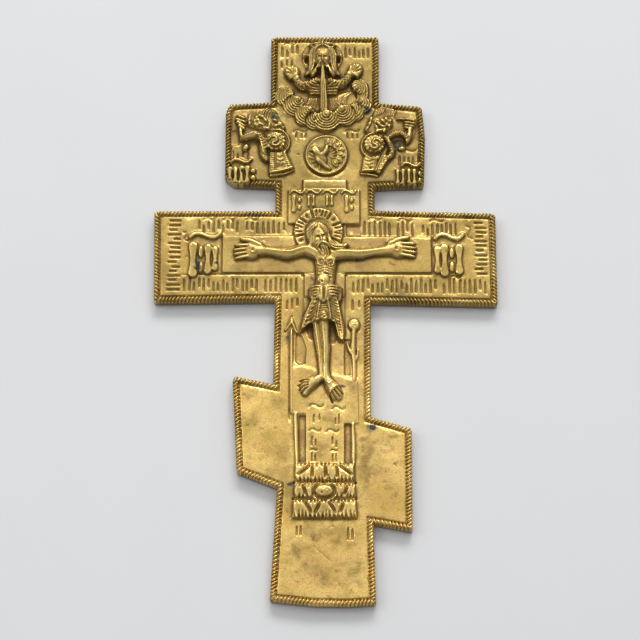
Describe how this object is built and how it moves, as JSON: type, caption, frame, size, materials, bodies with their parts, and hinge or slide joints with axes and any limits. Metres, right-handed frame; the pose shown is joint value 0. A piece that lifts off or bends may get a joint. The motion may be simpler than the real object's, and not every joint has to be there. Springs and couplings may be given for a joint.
{
  "type": "bronze icon cross",
  "caption": "Flat cast brass cross with three bars, rope border and figures in relief.",
  "frame": {"origin": "centre of the flat back, in the middle of the overall length and width", "axes": "+X to the viewer's right along the main bar, +Y to the top of the cross, +Z out of the face; the back is at z=0"},
  "size_m": [0.139, 0.2434, 0.0104],
  "materials": {
    "brass": "aged cast brass, worn bright on the high relief and dark in the recesses"
  },
  "bodies": {
    "root": {"icon_cross": "brass"}
  },
  "joints": []
}
